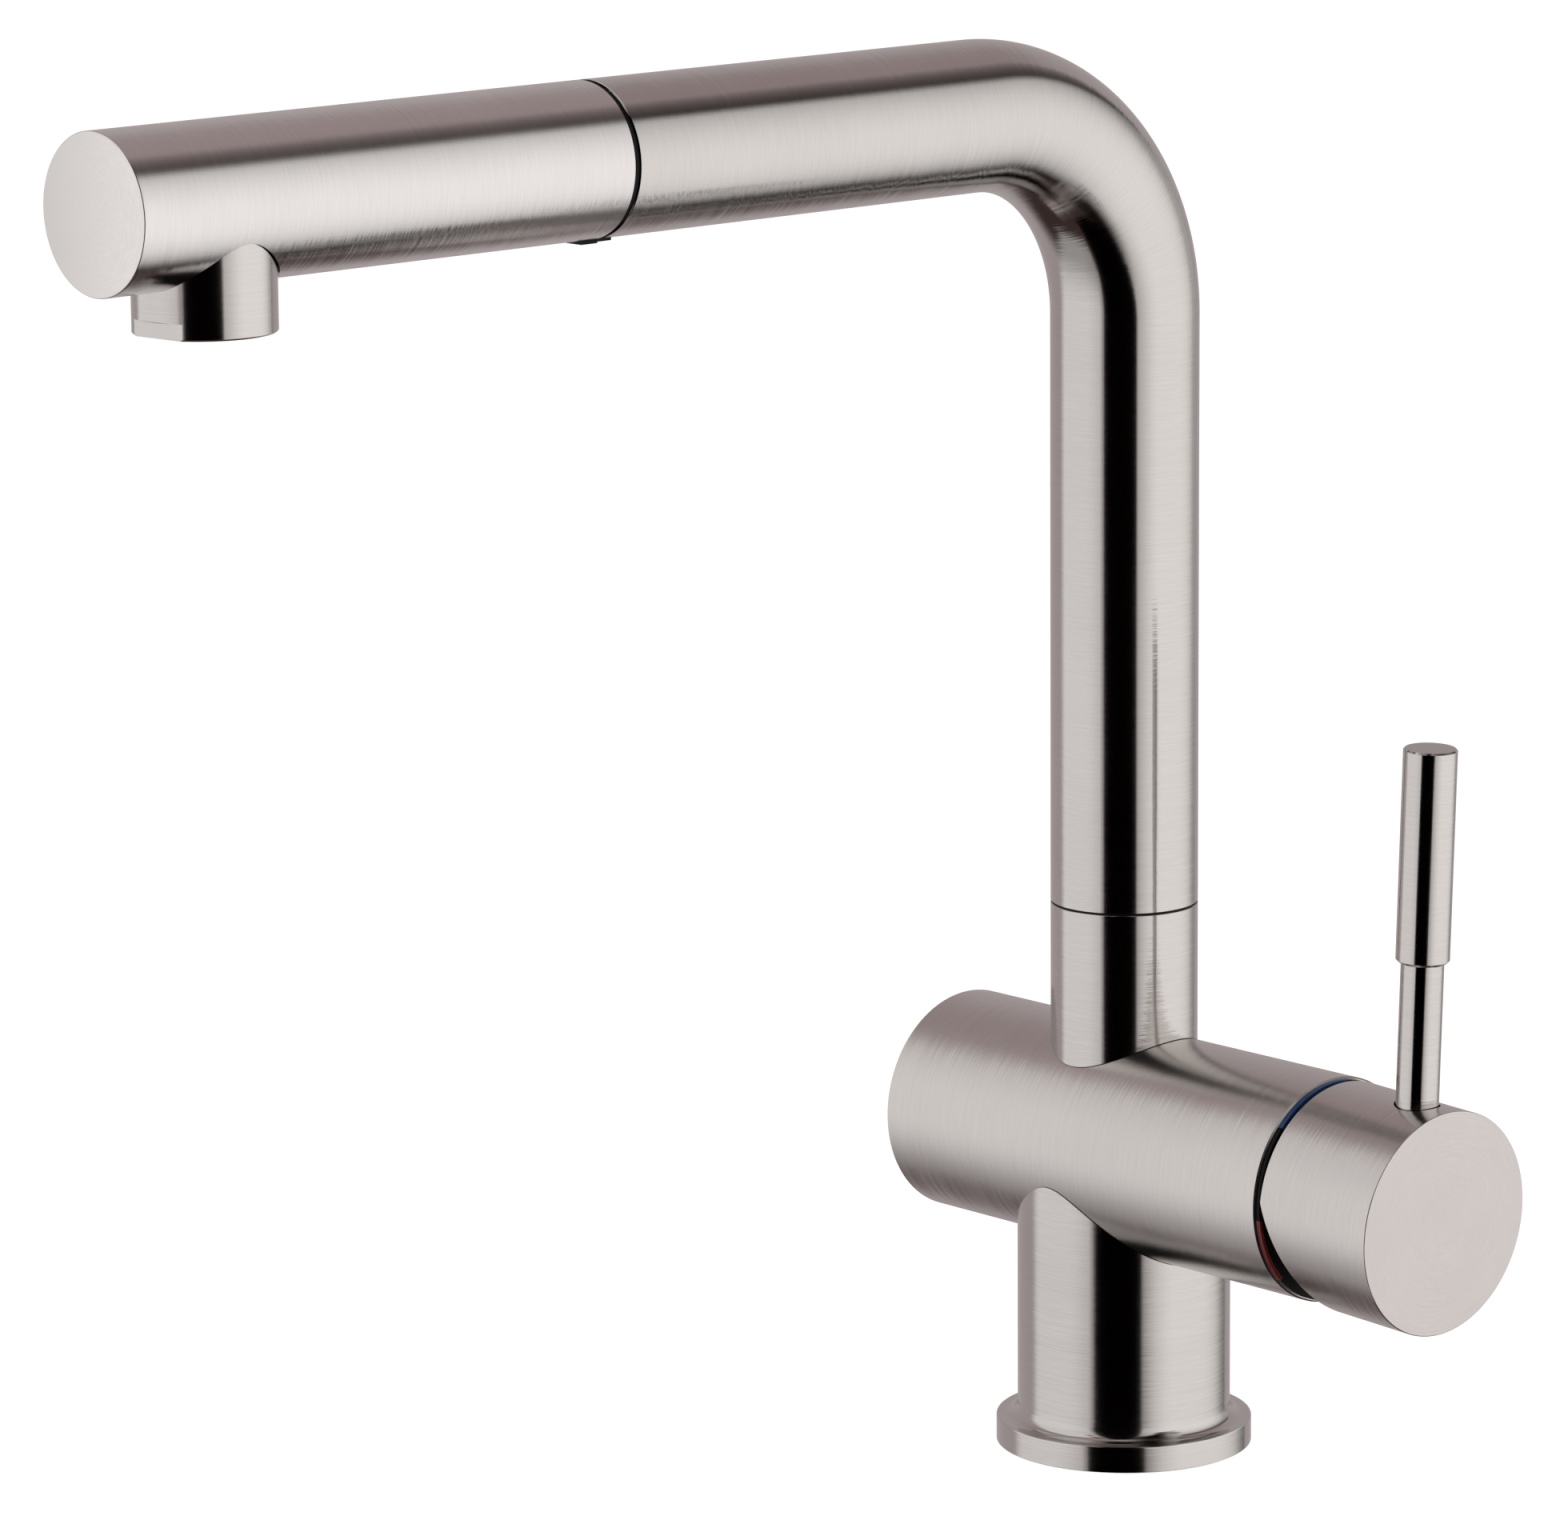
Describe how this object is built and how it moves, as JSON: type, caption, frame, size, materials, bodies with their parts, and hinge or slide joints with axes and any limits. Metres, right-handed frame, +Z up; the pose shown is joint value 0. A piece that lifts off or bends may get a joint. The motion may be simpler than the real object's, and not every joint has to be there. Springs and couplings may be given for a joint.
{
  "type": "pull-out kitchen faucet",
  "caption": "Tubular brushed-steel kitchen faucet: swivelling bent spout with a pull-out spray head, on a cross barrel with a side lever.",
  "frame": {"origin": "middle of the foot, on the worktop, where the worktop hole's axis meets the surface", "axes": "+Z up along the post, -Y along the spout's arm, +X along the barrel towards the lever"},
  "size_m": [0.1284, 0.264, 0.2727],
  "materials": {
    "brushed_stainless": "fine circumferential brushing",
    "plain_stainless": "plain machined",
    "brass": "machined",
    "black_plastic": "satin moulded",
    "grey_plastic": "moulded",
    "white_plastic": "moulded",
    "ceramic": "lapped",
    "black_rubber": "moulded",
    "blue_inlay": "painted",
    "red_inlay": "painted",
    "braided_hose": "braided nylon jacket"
  },
  "bodies": {
    "base": {"base_gasket": "black_rubber", "base_post": "brushed_stainless", "stud_block": "plain_stainless", "valve_barrel": "brushed_stainless", "barrel_end_plug": "brushed_stainless", "riser": "brushed_stainless", "upper_swivel_bush": "white_plastic", "lower_swivel_bush": "white_plastic", "swivel_stop_screw": "plain_stainless", "valve_seat": "brass", "port_seals": "black_rubber", "cartridge_base": "grey_plastic", "fixed_disc": "ceramic", "cartridge_housing": "grey_plastic", "retaining_nut": "brass", "temperature_ring": "black_plastic", "cold_mark": "blue_inlay", "hot_mark": "red_inlay", "hose_in_body": "braided_hose"},
    "spout": {"spout_tube": "brushed_stainless", "spout_spigot": "plain_stainless", "swivel_seals": "black_rubber", "docking_collar": "black_plastic", "hose_in_spout": "braided_hose"},
    "spray_head": {"head_shell": "brushed_stainless", "head_waterway": "black_plastic", "nozzle_housing": "brushed_stainless", "neck_seal": "black_rubber", "jet_former": "grey_plastic", "former_seal": "black_rubber", "check_valve_cage": "white_plastic", "check_valve_spring": "plain_stainless", "hose_nut": "brass", "hose_washer": "black_rubber", "hose_ferrule": "plain_stainless", "hose_in_arm": "braided_hose"},
    "check_poppet": {"check_valve_poppet": "white_plastic"},
    "lever_turn": {"driver": "grey_plastic", "pivot_pin": "plain_stainless"},
    "lever": {"lever_stem": "plain_stainless", "lever_cap": "brushed_stainless", "lever_rod": "brushed_stainless", "lever_grip": "brushed_stainless", "lever_set_screw": "plain_stainless"},
    "discs": {"moving_disc": "ceramic", "disc_carrier": "grey_plastic"}
  },
  "joints": [
    {"name": "spout_swivel", "type": "hinge", "parent": "base", "child": "spout", "pos_m": [0, 0, 0.1059], "axis": [0, 0, 1], "range_deg": [-65, 65]},
    {"name": "head_pull_out", "type": "slide", "parent": "spout", "child": "spray_head", "axis": [0, -1, 0], "range_m": [0, 0.5]},
    {"name": "check_valve_lift", "type": "slide", "parent": "spray_head", "child": "check_poppet", "axis": [0, -1, 0], "range_m": [0, 0.002], "stiffness_N_per_m": 60, "springref_m": -0.003, "deforming": ["check_valve_spring"]},
    {"name": "temperature", "type": "hinge", "parent": "base", "child": "lever_turn", "pos_m": [0.0489, 0, 0.0597], "axis": [1, 0, 0], "range_deg": [0, 100]},
    {"name": "flow", "type": "hinge", "parent": "lever_turn", "child": "lever", "pos_m": [0.0489, 0, 0.0597], "axis": [0, 1, 0], "range_deg": [0, 20]},
    {"name": "disc_shift", "type": "slide", "parent": "lever_turn", "child": "discs", "axis": [0, 0, 1], "range_m": [0, 0.00293]}
  ],
  "couplings": [
    {"joint": "disc_shift", "follows": "flow", "m_per_rad": 0.0083632}
  ]
}
